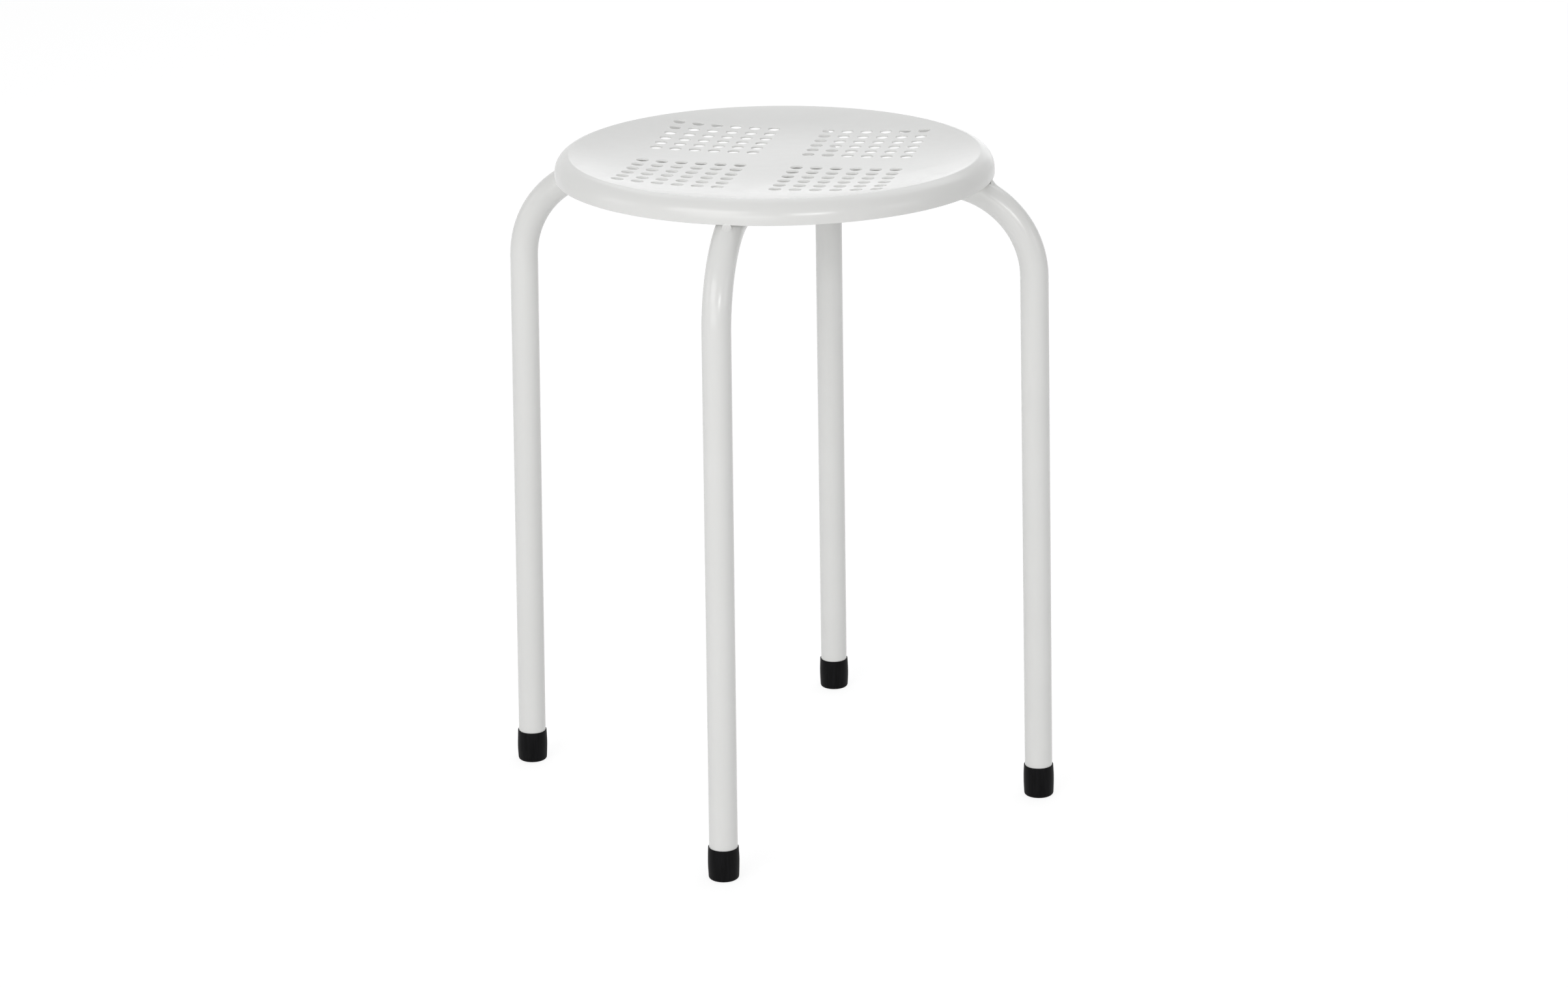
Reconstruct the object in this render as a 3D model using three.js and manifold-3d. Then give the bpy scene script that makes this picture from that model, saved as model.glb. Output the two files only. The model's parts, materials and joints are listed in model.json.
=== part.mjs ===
// Round stacking stool. A dished, perforated steel seat pan lies on a cross of bent steel tube:
// one hoop makes the left and right legs, and the front and rear legs butt against its middle.
// The cross is welded together at the middle and to the pan's rim at each leg, the whole frame
// is powder coated, and each leg stands in a rubber ferrule.
//
// Millimetres, +Z up. The origin lies on the floor below the middle of the seat. The legs stand
// on the X and Y axes, and the front leg is the one towards -Y.

import * as THREE from 'three';
import { mergeVertices } from 'three/addons/utils/BufferGeometryUtils.js';
import Module from 'manifold-3d';

const wasm = await Module();
wasm.setup();

const degrees = THREE.MathUtils.degToRad;

// Seat pan
const SEAT_HEIGHT = 450; // from the floor to the crest of the rim
const SEAT_DIAMETER = 295; // over the rim
const SHEET_THICKNESS = 1.2;
const DISH_DEPTH = 6.5; // from the crest of the rim down to the middle of the dish
const RIM_ROLL_RADIUS = 12.3; // outside radius of the rolled-over rim
const SKIRT_HEIGHT = 2.9; // straight edge below the roll
const LIP_ANGLE = degrees(12); // how steeply the dish rises where it meets the roll

// Punched holes, in a square grid in each quarter of the seat
const HOLE_DIAMETER = 8;
const HOLE_ROWS = 6; // in each quarter, both ways
const CROSS_MARGIN = 5.7; // plain sheet beside each tube before the first hole
const RIM_MARGIN = 9.1; // between the outermost hole and the middle of the roll

// Leg tube
const TUBE_DIAMETER = 19;
const TUBE_WALL = 1.5;
const BEND_RADIUS = 63; // at the tube's centreline
const LEG_STANDOFF = 18.5; // from the seat's edge to the inside of the leg's line, at the cross
const SPLAY_ANGLE = degrees(0.92);

// Rubber ferrule
const FERRULE_SOLE = 5; // rubber below the end of the tube
const FERRULE_GRIP = 17; // length of tube inside the ferrule
const FERRULE_WALL = 0.6; // at the lip
const FERRULE_BULGE = 0.2; // how far the middle of the wall stands out past the lip
const SOLE_ROUNDING = 1.8;
const SOLE_TRIM = 0.3; // cut off the sole, so that a splayed leg still stands flat

// Welds
const CROSS_WELD_RADIUS = 2.4;
const RIM_WELD_WIDTH = 6.4;
const RIM_WELD_LEG = 2.6; // how far the bead climbs the rim and runs out along the tube

// Clearances
const FIT_GAP = 0.3;
const CUT_OVERRUN = 4;

// Facets
const PAN_SIDES = 60;
const DISH_STEPS = 5;
const ROLL_STEPS = 5;
const HOLE_SIDES = 8;
const TUBE_SIDES = 20;
const BORE_SIDES = 12;
const BEND_STEPS = 10;
const FERRULE_SIDES = 24;
const BULGE_STEPS = 4;
const ROUNDING_STEPS = 3;
const WELD_SIDES = 8;
const WELD_STEPS = 12;

// Levels and radii that follow from the sizes above
const seatRadius = SEAT_DIAMETER / 2;
const rollCentreRadius = seatRadius - RIM_ROLL_RADIUS;
const rollCentreLevel = SEAT_HEIGHT - RIM_ROLL_RADIUS;
const skirtEdgeLevel = rollCentreLevel - SKIRT_HEIGHT;
const dishLevel = SEAT_HEIGHT - DISH_DEPTH;
const tubeRadius = TUBE_DIAMETER / 2;
const boreRadius = tubeRadius - TUBE_WALL;
const tubeEnvelopeRadius = tubeRadius + FIT_GAP;
const crossLevel = dishLevel - SHEET_THICKNESS - FIT_GAP - tubeRadius;
const holeRadius = HOLE_DIAMETER / 2;

// Materials
function finish(color, roughness) {
  return new THREE.MeshStandardMaterial({ color, roughness, metalness: 0, flatShading: true });
}

const powderCoat = finish(0xe1e1df, 0.42);
const blackRubber = finish(0x1b1b1c, 0.62);

// A closed mesh as a solid that can be cut and joined
function solidOf(geometry) {
  const bare = geometry.clone();
  bare.deleteAttribute('normal');
  bare.deleteAttribute('uv');
  const merged = mergeVertices(bare);
  const corners = merged.index.array;
  const triangles = [];
  for (let i = 0; i < corners.length; i += 3) {
    const [a, b, c] = corners.subarray(i, i + 3);
    if (a !== b && b !== c && c !== a) triangles.push(a, b, c);
  }
  const vertProperties = merged.attributes.position.array;
  const triVerts = Uint32Array.from(triangles);
  return new wasm.Manifold(new wasm.Mesh({ numProp: 3, vertProperties, triVerts }));
}

// A solid back as a mesh geometry
function geometryOf(solid) {
  const { vertProperties, triVerts } = solid.getMesh();
  const geometry = new THREE.BufferGeometry();
  geometry.setAttribute('position', new THREE.BufferAttribute(vertProperties, 3));
  geometry.setIndex(new THREE.BufferAttribute(triVerts, 1));
  geometry.computeVertexNormals();
  return geometry;
}

function namedMesh(name, solid, material) {
  const mesh = new THREE.Mesh(geometryOf(solid), material);
  mesh.name = name;
  return mesh;
}

// A solid turned about the Z axis from a profile of [radius, level] points, listed anticlockwise
function turned(profile, sides) {
  const points = profile.map(([radius, level]) => new THREE.Vector2(radius, level));
  return solidOf(new THREE.LatheGeometry(points, sides).rotateX(degrees(90)));
}

// A plain round bar of the tube's outline and its clearance, along one of the axes at cross level
function crossBar(axis, length) {
  const bar = new THREE.CylinderGeometry(tubeEnvelopeRadius, tubeEnvelopeRadius, length, TUBE_SIDES);
  if (axis === 'x') bar.rotateZ(degrees(90));
  return solidOf(bar.translate(0, 0, crossLevel));
}

// Seat pan

// The dish rises as a power of the radius that leaves it tangent to the roll
const lipRadius = rollCentreRadius - RIM_ROLL_RADIUS * Math.sin(LIP_ANGLE);
const lipLevel = rollCentreLevel + RIM_ROLL_RADIUS * Math.cos(LIP_ANGLE);
const dishPower = (Math.tan(LIP_ANGLE) * lipRadius) / (lipLevel - dishLevel);

// One face of the sheet from the middle out to the skirt's edge, at a depth below the upper face
function panFace(depth) {
  const points = [];
  for (let i = 0; i < DISH_STEPS; i += 1) {
    const share = i / DISH_STEPS;
    const slope = Math.tan(LIP_ANGLE) * share ** (dishPower - 1);
    const lean = Math.atan(slope);
    const radius = lipRadius * share;
    const level = dishLevel + (lipLevel - dishLevel) * share ** dishPower;
    points.push([radius + depth * Math.sin(lean), level - depth * Math.cos(lean)]);
  }
  const rollAngles = [-LIP_ANGLE];
  for (let i = 0; i <= ROLL_STEPS; i += 1) rollAngles.push((degrees(90) * i) / ROLL_STEPS);
  for (const angle of rollAngles) {
    const out = (RIM_ROLL_RADIUS - depth) * Math.sin(angle);
    const up = (RIM_ROLL_RADIUS - depth) * Math.cos(angle);
    points.push([rollCentreRadius + out, rollCentreLevel + up]);
  }
  points.push([seatRadius - depth, skirtEdgeLevel]);
  return points;
}

// Hole centres on one side of the cross, evenly spaced. The last one puts the hole at the grid's
// far corner at its margin from the roll.
function holeStations() {
  const first = tubeRadius + CROSS_MARGIN + holeRadius;
  const last = (rollCentreRadius - RIM_MARGIN - holeRadius) * Math.SQRT1_2;
  const pitch = (last - first) / (HOLE_ROWS - 1);
  const stations = [];
  for (let row = 0; row < HOLE_ROWS; row += 1) stations.push(first + pitch * row);
  return stations;
}

function holePunches() {
  const height = DISH_DEPTH + SHEET_THICKNESS + CUT_OVERRUN;
  const level = SEAT_HEIGHT + CUT_OVERRUN / 2 - height / 2;
  const punch = new THREE.CylinderGeometry(holeRadius, holeRadius, height, HOLE_SIDES);
  punch.rotateX(degrees(90));
  const places = holeStations().flatMap((place) => [-place, place]);
  const punches = [];
  for (const x of places) {
    for (const y of places) punches.push(solidOf(punch.clone().translate(x, y, level)));
  }
  return wasm.Manifold.union(punches);
}

function seatPan(tubeEnvelope) {
  const sheet = turned([...panFace(SHEET_THICKNESS), ...panFace(0).reverse()], PAN_SIDES);
  return sheet.subtract(holePunches()).subtract(tubeEnvelope);
}

// Leg tube

// A path through stations that each have a point and a heading, one step to the next
class StationPath extends THREE.Curve {
  constructor(stations) {
    super();
    this.stations = stations;
  }

  station(t) {
    return this.stations[Math.round(t * (this.stations.length - 1))];
  }

  getUtoTmapping(u) {
    return u;
  }

  getPoint(t, target = new THREE.Vector3()) {
    return target.copy(this.station(t).point);
  }

  getTangent(t, target = new THREE.Vector3()) {
    return target.copy(this.station(t).heading);
  }
}

// The leg's centreline lies in its own XZ plane, with X out from the middle of the seat
const legRadiusAtCross = seatRadius + LEG_STANDOFF + tubeRadius;
const bendTurn = degrees(90) - SPLAY_ANGLE;
const bendStartRadius = legRadiusAtCross - BEND_RADIUS * Math.tan(bendTurn / 2);
const bendCentreLevel = crossLevel - BEND_RADIUS;

function legRadiusAt(level) {
  return legRadiusAtCross + (crossLevel - level) * Math.tan(SPLAY_ANGLE);
}

// The top of the tube where the seat's edge passes over it
const bendOuterRadius = BEND_RADIUS + tubeRadius;
const edgeOverBend = Math.max(seatRadius - bendStartRadius, 0);
const riseAtEdge = Math.sqrt(bendOuterRadius ** 2 - Math.min(edgeOverBend, BEND_RADIUS) ** 2);
const tubeTopAtEdge = bendCentreLevel + riseAtEdge;

function legStations(endLevel) {
  const stations = [];
  for (let i = 0; i <= BEND_STEPS; i += 1) {
    const turn = (bendTurn * i) / BEND_STEPS;
    stations.push({
      point: new THREE.Vector3(
        bendStartRadius + BEND_RADIUS * Math.sin(turn),
        0,
        bendCentreLevel + BEND_RADIUS * Math.cos(turn),
      ),
      heading: new THREE.Vector3(Math.cos(turn), 0, -Math.sin(turn)),
    });
  }
  const down = new THREE.Vector3(Math.sin(SPLAY_ANGLE), 0, -Math.cos(SPLAY_ANGLE));
  stations.push({ point: new THREE.Vector3(legRadiusAt(endLevel), 0, endLevel), heading: down });
  return stations;
}

function circlePoints(radius, sides) {
  const points = [];
  for (let i = 0; i < sides; i += 1) {
    const angle = (degrees(360) * i) / sides;
    points.push(new THREE.Vector2(radius * Math.cos(angle), radius * Math.sin(angle)));
  }
  return points;
}

function extrudedAlong(stations, section) {
  const extrudePath = new StationPath(stations);
  return new THREE.ExtrudeGeometry(section, { steps: stations.length - 1, extrudePath });
}

function tubeAlong(stations) {
  const section = new THREE.Shape(circlePoints(tubeRadius, TUBE_SIDES));
  section.holes.push(new THREE.Path(circlePoints(boreRadius, BORE_SIDES)));
  return solidOf(extrudedAlong(stations, section));
}

// The room that a tube and its clearance take up, turned about the Z axis
function envelopeAlong(stations, turn) {
  const section = new THREE.Shape(circlePoints(tubeEnvelopeRadius, TUBE_SIDES));
  return solidOf(extrudedAlong(stations, section).rotateZ(turn));
}

// The tube ends inside its ferrule, just above the sole
const tubeEndLevel = FERRULE_SOLE + FIT_GAP;
const middle = { point: new THREE.Vector3(0, 0, crossLevel), heading: new THREE.Vector3(1, 0, 0) };
const halfStations = legStations(tubeEndLevel);
const otherHalfStations = halfStations.map(({ point, heading }) => ({
  point: new THREE.Vector3(-point.x, 0, point.z),
  heading: new THREE.Vector3(heading.x, 0, -heading.z),
}));
const hoopStations = [...otherHalfStations.reverse(), ...halfStations];
const buttedStations = [middle, ...halfStations];

// The butted legs are coped to fit against the hoop, which crosses them along their own Y axis
function buttedLeg() {
  return tubeAlong(buttedStations).subtract(crossBar('y', TUBE_DIAMETER + CUT_OVERRUN));
}

// The room that all four legs take up
function crossEnvelope() {
  return envelopeAlong(hoopStations, 0).add(envelopeAlong(hoopStations, degrees(90)));
}

// Welds

// A bead along the corner where two crossing tubes of one size meet, from one side of the hoop
// under the tubes to the other side. The corner is half an ellipse.
function cornerBead(turn) {
  const sweep = degrees(105);
  const stations = [];
  for (let i = 0; i <= WELD_STEPS; i += 1) {
    const angle = -sweep + (2 * sweep * i) / WELD_STEPS;
    const out = tubeRadius * Math.SQRT2 * Math.sin(angle);
    const outRate = tubeRadius * Math.SQRT2 * Math.cos(angle);
    stations.push({
      point: new THREE.Vector3(out, 0, crossLevel - tubeRadius * Math.cos(angle)),
      heading: new THREE.Vector3(outRate, 0, tubeRadius * Math.sin(angle)).normalize(),
    });
  }
  const section = new THREE.Shape(circlePoints(CROSS_WELD_RADIUS, WELD_SIDES));
  return solidOf(extrudedAlong(stations, section).rotateZ(turn));
}

function crossWeld() {
  const length = (tubeRadius + CROSS_WELD_RADIUS + CUT_OVERRUN) * 2;
  const beads = cornerBead(degrees(45)).add(cornerBead(degrees(-45)));
  return beads.subtract(crossBar('x', length)).subtract(crossBar('y', length));
}

// A tack at the outside of the rim, on top of the leg, in the leg's own XZ plane
function rimWeld(legEnvelope) {
  const height = Math.abs(skirtEdgeLevel - tubeTopAtEdge) + RIM_WELD_LEG;
  const bead = new THREE.SphereGeometry(1, WELD_SIDES * 2, WELD_SIDES).rotateX(degrees(90));
  bead.scale(RIM_WELD_LEG + FIT_GAP, RIM_WELD_WIDTH / 2, height);
  bead.translate(seatRadius, 0, tubeTopAtEdge);
  const round = seatRadius + FIT_GAP;
  const underSeat = turned([[0, 0], [round, 0], [round, SEAT_HEIGHT], [0, SEAT_HEIGHT]], PAN_SIDES);
  return solidOf(bead).subtract(underSeat).subtract(legEnvelope);
}

// Rubber ferrule, along its own Z axis from the underside of its sole
function ferrule() {
  const bore = tubeRadius + FIT_GAP;
  const lip = bore + FERRULE_WALL;
  const height = FERRULE_SOLE + FERRULE_GRIP;
  const profile = [[0, -SOLE_TRIM]];
  for (let i = 0; i <= ROUNDING_STEPS; i += 1) {
    const angle = (degrees(90) * i) / ROUNDING_STEPS;
    const out = lip - SOLE_ROUNDING + SOLE_ROUNDING * Math.sin(angle);
    profile.push([out, -SOLE_TRIM + SOLE_ROUNDING - SOLE_ROUNDING * Math.cos(angle)]);
  }
  const bulgeStart = SOLE_ROUNDING - SOLE_TRIM;
  for (let i = 1; i <= BULGE_STEPS; i += 1) {
    const share = i / BULGE_STEPS;
    const swell = FERRULE_BULGE * Math.sin(Math.PI * share);
    profile.push([lip + swell, bulgeStart + (height - bulgeStart) * share]);
  }
  profile.push([bore, height], [bore, FERRULE_SOLE], [0, FERRULE_SOLE]);
  return turned(profile, FERRULE_SIDES);
}

// The sole is trimmed flat to the floor, which the splay tilts in the ferrule's own frame
function floorCut() {
  const side = TUBE_DIAMETER * 2;
  const slab = new THREE.BoxGeometry(side, side, side).translate(0, 0, -side / 2);
  return solidOf(slab.rotateY(SPLAY_ANGLE));
}

// Assembly

const stool = new THREE.Group();
stool.add(namedMesh('seat_pan', seatPan(crossEnvelope()), powderCoat));
stool.add(namedMesh('side_hoop', tubeAlong(hoopStations), powderCoat));
stool.add(namedMesh('cross_weld', crossWeld(), powderCoat));

const legTube = buttedLeg();
const weldBead = rimWeld(envelopeAlong(buttedStations, 0));
const rubberFoot = ferrule().subtract(floorCut());

// Each corner of the stool is a group turned to its own side, with its leg along the group's X axis
const sides = [
  { side: 'front', turn: degrees(-90), butted: true },
  { side: 'right', turn: 0, butted: false },
  { side: 'rear', turn: degrees(90), butted: true },
  { side: 'left', turn: degrees(180), butted: false },
];

for (const { side, turn, butted } of sides) {
  const corner = new THREE.Group();
  corner.rotation.z = turn;
  if (butted) corner.add(namedMesh(`${side}_leg`, legTube, powderCoat));
  corner.add(namedMesh(`${side}_rim_weld`, weldBead, powderCoat));

  const foot = namedMesh(`${side}_ferrule`, rubberFoot, blackRubber);
  foot.position.set(legRadiusAt(0), 0, 0);
  foot.rotation.y = -SPLAY_ANGLE;
  corner.add(foot);
  stool.add(corner);
}

export default stool;
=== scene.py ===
"""A round stacking stool: a pressed and perforated seat pan on bent tube legs.

The legs are welded to one another and to the rim of the pan, and stand in rubber ferrules.
"""

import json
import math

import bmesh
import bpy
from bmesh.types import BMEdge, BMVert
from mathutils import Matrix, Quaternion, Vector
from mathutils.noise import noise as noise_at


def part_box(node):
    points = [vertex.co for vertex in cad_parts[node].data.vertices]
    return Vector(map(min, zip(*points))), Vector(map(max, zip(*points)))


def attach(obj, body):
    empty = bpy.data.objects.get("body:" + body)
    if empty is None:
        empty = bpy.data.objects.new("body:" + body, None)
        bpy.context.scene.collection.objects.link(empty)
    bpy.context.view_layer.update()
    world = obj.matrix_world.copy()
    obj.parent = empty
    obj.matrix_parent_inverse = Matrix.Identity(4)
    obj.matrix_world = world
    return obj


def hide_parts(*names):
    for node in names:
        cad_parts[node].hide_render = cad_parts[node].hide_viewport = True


bl_info = {
    "name": "Stacking Stool",
    "version": (1, 0, 0),
    "blender": (4, 5, 0),
    "location": "View3D > Sidebar > Stool",
    "description": "Models a powder coated stacking stool around its construction frame",
    "category": "Add Mesh",
}

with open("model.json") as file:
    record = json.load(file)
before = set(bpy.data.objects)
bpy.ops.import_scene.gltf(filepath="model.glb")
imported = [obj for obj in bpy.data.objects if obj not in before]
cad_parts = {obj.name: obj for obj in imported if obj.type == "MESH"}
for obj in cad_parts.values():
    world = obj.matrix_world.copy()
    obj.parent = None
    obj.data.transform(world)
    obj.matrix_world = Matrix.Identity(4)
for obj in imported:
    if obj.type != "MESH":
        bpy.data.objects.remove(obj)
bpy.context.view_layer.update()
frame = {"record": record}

MILLIMETRE = 0.001
MERGE_DISTANCE = 0.001 * MILLIMETRE
# How far round the middle of the seat each leg stands, in degrees from the right
LEG_TURNS = {"front": -90, "right": 0, "rear": 90, "left": 180}

# Sizes and colours that the frame gives
seat_low, seat_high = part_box("seat_pan")
hoop_low, hoop_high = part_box("side_hoop")
finish_colours = {row["slot"]: row["base_color"] for row in frame["record"]["materials"]}


# Settings

def length(name, description, default):
    """A size in metres."""
    return bpy.props.FloatProperty(
        name=name, description=description, default=default, min=0.0, precision=5,
        subtype="DISTANCE", unit="LENGTH")


def angle(name, description, degrees):
    """An angle, given in degrees."""
    return bpy.props.FloatProperty(
        name=name, description=description, default=math.radians(degrees),
        subtype="ANGLE", unit="ROTATION")


def colour(name, description, default):
    """A linear colour."""
    return bpy.props.FloatVectorProperty(
        name=name, description=description, default=default, size=3, min=0.0, max=1.0,
        subtype="COLOR")


def share(name, description, default):
    """A number between nothing and all."""
    return bpy.props.FloatProperty(
        name=name, description=description, default=default, min=0.0, max=1.0, subtype="FACTOR")


def power(name, description, default):
    """The power of a lamp in watts."""
    return bpy.props.FloatProperty(
        name=name, description=description, default=default, min=0.0, unit="POWER")


class SeatPanSettings(bpy.types.PropertyGroup):
    """Sizes of the pressed seat pan."""

    radius: length("Radius", "From the middle of the seat to the outside of the rim", seat_high.x)
    crest: length("Crest", "Height of the rim's crest above the floor", seat_high.z)
    skirt_edge: length("Skirt Edge", "Height of the rim's lower edge", seat_low.z)
    sheet: length("Sheet", "Thickness of the steel sheet", 1.2 * MILLIMETRE)
    dish_depth: length("Dish Depth", "From the crest down to the middle", 6.5 * MILLIMETRE)
    roll_radius: length("Roll Radius", "Outside radius of the rolled rim", 12.3 * MILLIMETRE)
    crest_radius: length(
        "Crest Radius", "Outside radius of the tighter turn at the crest", 3 * MILLIMETRE)
    crest_turn: angle("Crest Turn", "How far the rim has turned down where the roll takes over", 18)
    lip_angle: angle("Lip Angle", "How steeply the dish meets the crest", 10.4)
    hole_radius: length("Hole Radius", "Radius of a punched hole", 4 * MILLIMETRE)
    hole_pitch: length("Hole Pitch", "From one hole to the next", 13.43 * MILLIMETRE)
    first_hole: length("First Hole", "From the middle lines to the first hole", 19.2 * MILLIMETRE)
    hole_rows: bpy.props.IntProperty(
        name="Hole Rows", description="Rows of holes in each quarter, both ways", default=6, min=1)
    punch_rounding: length("Punch Rounding", "Rounding of a hole's upper edge", 0.45 * MILLIMETRE)
    edge_rounding: length("Edge Rounding", "Rounding of the other edges", 0.25 * MILLIMETRE)


class LegTubeSettings(bpy.types.PropertyGroup):
    """Sizes of the leg tubes."""

    radius: length("Radius", "Outside radius of the tube", (hoop_high.y - hoop_low.y) / 2)
    wall: length("Wall", "Wall thickness of the tube", 1.5 * MILLIMETRE)
    bend_radius: length("Bend Radius", "Of the tube's centreline", 63 * MILLIMETRE)
    splay: angle("Splay", "How far each leg leans out", 0.92)
    coping_gap: length("Coping Gap", "Between the butted tubes and the hoop", 0.3 * MILLIMETRE)
    cut_rounding: length("Cut Rounding", "Rounding of the sawn ends", 0.3 * MILLIMETRE)


class WeldSettings(bpy.types.PropertyGroup):
    """Sizes of the weld beads."""

    cross_radius: length("Cross Bead", "Radius of the beads under the seat", 2.4 * MILLIMETRE)
    cross_sweep: angle("Cross Sweep", "How far a bead runs up each side of the tubes", 105)
    rim_width: length("Rim Bead Width", "Along the rim", 6.4 * MILLIMETRE)
    rim_reach: length("Rim Bead Reach", "Out along the leg", 3.9 * MILLIMETRE)
    rim_climb: length("Rim Bead Climb", "Up the rim from its lower edge", 1.2 * MILLIMETRE)
    rim_hollow: share("Rim Bead Hollow", "How far the bead's face is hollowed", 0.3)
    rim_root: length("Rim Bead Root", "How deep the bead melts into the steel", 0.4 * MILLIMETRE)
    ripple_pitch: length("Ripple Pitch", "From one ripple to the next", 1.3 * MILLIMETRE)
    ripple_share: share("Ripple Height", "As a share of the bead's radius", 0.06)


class FerruleSettings(bpy.types.PropertyGroup):
    """Sizes of the rubber ferrules."""

    height: length("Height", "Along the leg", 22 * MILLIMETRE)
    sole: length("Sole", "Rubber below the end of the tube", 5 * MILLIMETRE)
    lip_wall: length("Lip Wall", "From the tube to the outside of the lip", 0.65 * MILLIMETRE)
    bulge: length("Bulge", "How far the middle of the wall stands out", 0.35 * MILLIMETRE)
    unevenness: length("Unevenness", "How far the wall wavers", 0.08 * MILLIMETRE)
    rounding: length("Sole Rounding", "Radius of the sole's edge", 1.8 * MILLIMETRE)
    trim: length("Sole Trim", "Cut off the sole to stand flat", 0.3 * MILLIMETRE)


class FinishSettings(bpy.types.PropertyGroup):
    """Colours and textures of the two finishes."""

    coat: colour("Coat", "Colour of the powder coat", finish_colours["powder_coat"])
    coat_roughness: share("Coat Roughness", "Roughness of the powder coat", 0.22)
    peel_size: length("Orange Peel", "Size of the coat's faint dimples", 1.6 * MILLIMETRE)
    rubber: colour("Rubber", "Colour of the ferrules", finish_colours["black_rubber"])
    rubber_roughness: share("Rubber Roughness", "Roughness of the ferrules", 0.5)


class StageSettings(bpy.types.PropertyGroup):
    """Camera, lamps and floor."""

    azimuth: angle("Azimuth", "Of the camera, from the front towards the right", 12.455)
    elevation: angle("Elevation", "Of the camera above the point it looks at", 17.958)
    roll: angle("Roll", "Of the camera about its line of sight", -0.72)
    distance: length("Distance", "From the camera to the point it looks at", 2.721)
    aim: bpy.props.FloatVectorProperty(
        name="Aim", description="Point that the camera looks at", size=3,
        default=(0.0035, 0.0008, 0.2084), subtype="XYZ", unit="LENGTH")
    lens: bpy.props.FloatProperty(
        name="Lens", description="Focal length in millimetres", default=90.73)
    key: power("Key Lamp", "Wide soft lamp, left of the camera", 37.5)
    corner: power("Corner Lamp", "Small lamp, right of the camera", 21.3)
    front: power("Front Lamp", "Wide low lamp at the front", 22.0)
    left: power("Left Lamp", "Weak lamp on the left", 6.1)
    right: power("Right Lamp", "Weak lamp on the right", 7.2)
    back: power("Back Lamp", "Weak low lamp behind the stool", 4.3)
    high_back: power("High Back Lamp", "Very wide lamp, high behind the stool", 43.0)
    ceiling: power("Ceiling Lamp", "Very wide lamp above the stool", 26.6)
    room: share("Room Light", "Even light from all around", 0.27)
    floor_size: length("Floor", "Side of the floor", 12.0)


# Shared helpers

# Degrees between two faces past which their edge counts as a cut one, and steps in its rounding
CUT_EDGES = 50
EDGE_STEPS = 2


def finished_piece(name, bm, material, slot, *nodes):
    """Links a bmesh as a smooth piece that stands for CAD nodes."""
    mesh = bpy.data.meshes.new(name)
    bm.to_mesh(mesh)
    bm.free()
    mesh.shade_smooth()
    mesh.materials.append(material)
    piece = bpy.data.objects.new(name, mesh)
    bpy.context.scene.collection.objects.link(piece)
    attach(piece, "root")
    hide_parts(*nodes)
    # The large faces lead the shading, so that rounded edges don't darken what they join
    even = piece.modifiers.new("even_shading", "WEIGHTED_NORMAL")
    even.mode = "FACE_AREA"
    even.keep_sharp = True
    return piece


def only(parts, kind):
    """Those parts of an operator's result that are of one kind."""
    return [part for part in parts if isinstance(part, kind)]


def whole(bm):
    """Everything in a shape, for operators that take any part of it."""
    return bm.verts[:] + bm.edges[:] + bm.faces[:]


def open_edges(bm):
    """Edges with a face on one side only."""
    return [edge for edge in bm.edges if edge.is_boundary]


def hard_edges(bm, degrees):
    """Edges whose faces meet at more than an angle in degrees."""
    limit = math.radians(degrees)
    return [edge for edge in bm.edges if edge.is_manifold and edge.calc_face_angle() > limit]


def round_edges(bm, edges, width, steps):
    """Rounds edges over a width, in steps."""
    bmesh.ops.bevel(
        bm, geom=edges, offset=width, offset_type="OFFSET", segments=steps, profile=0.5,
        affect="EDGES", clamp_overlap=True, material=-1)


def extruded(bm, edges):
    """Extrudes edges where they are and returns the new vertices and the new edges."""
    made = bmesh.ops.extrude_edge_only(bm, edges=edges)["geom"]
    verts = only(made, BMVert)
    row = set(verts)
    return verts, [edge for edge in only(made, BMEdge) if row.issuperset(edge.verts)]


def turn_about_seat(bm, turn):
    """Turns a shape about the upright line through the middle of the seat."""
    bmesh.ops.rotate(bm, verts=bm.verts, matrix=Matrix.Rotation(turn, 3, "Z"))


# Finishes

# The levels between which most of a noise lies
NOISE_LOW, NOISE_HIGH = 0.3, 0.7

# Powder coat: sizes of its clouds and patches, and depths and strengths of its bumps
COAT_IOR = 1.5
THIN_COAT_SHARE = 0.975
CLOUD_SIZE = 60 * MILLIMETRE
PATCH_SIZE = 9 * MILLIMETRE
PATCH_ROUGHNESS = 0.03
PEEL_DEPTH, PEEL_STRENGTH = 0.012 * MILLIMETRE, 0.6
WAVE_DEPTH, WAVE_STRENGTH = 0.02 * MILLIMETRE, 0.5
PEELS_PER_WAVE = 5

# Rubber: shares of its colour, and sizes and depths of its mould marks
RUBBER_SPECULAR = 0.06
DARK_RUBBER_SHARE, WORN_RUBBER_SHARE = 0.3, 0.65
SMOOTHER_RUBBER, ROUGHER_RUBBER = 0.06, 0.08
DRAW_LINE_SIZE, DRAW_LINE_STRETCH = 1.6 * MILLIMETRE, 9.0
DRAW_LINE_DEPTH = 0.04 * MILLIMETRE
GRAIN_SIZE, GRAIN_DEPTH = 0.35 * MILLIMETRE, 0.02 * MILLIMETRE
RUBBER_BUMP_STRENGTH = 0.5


def new_material(name):
    """A material with its own shader, and an Object coordinate to read patterns from."""
    material = bpy.data.materials.new(name)
    material.use_nodes = True
    nodes = material.node_tree.nodes
    shader = nodes["Principled BSDF"]
    place = nodes.new("ShaderNodeTexCoord").outputs["Object"]
    return material, shader, place


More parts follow.
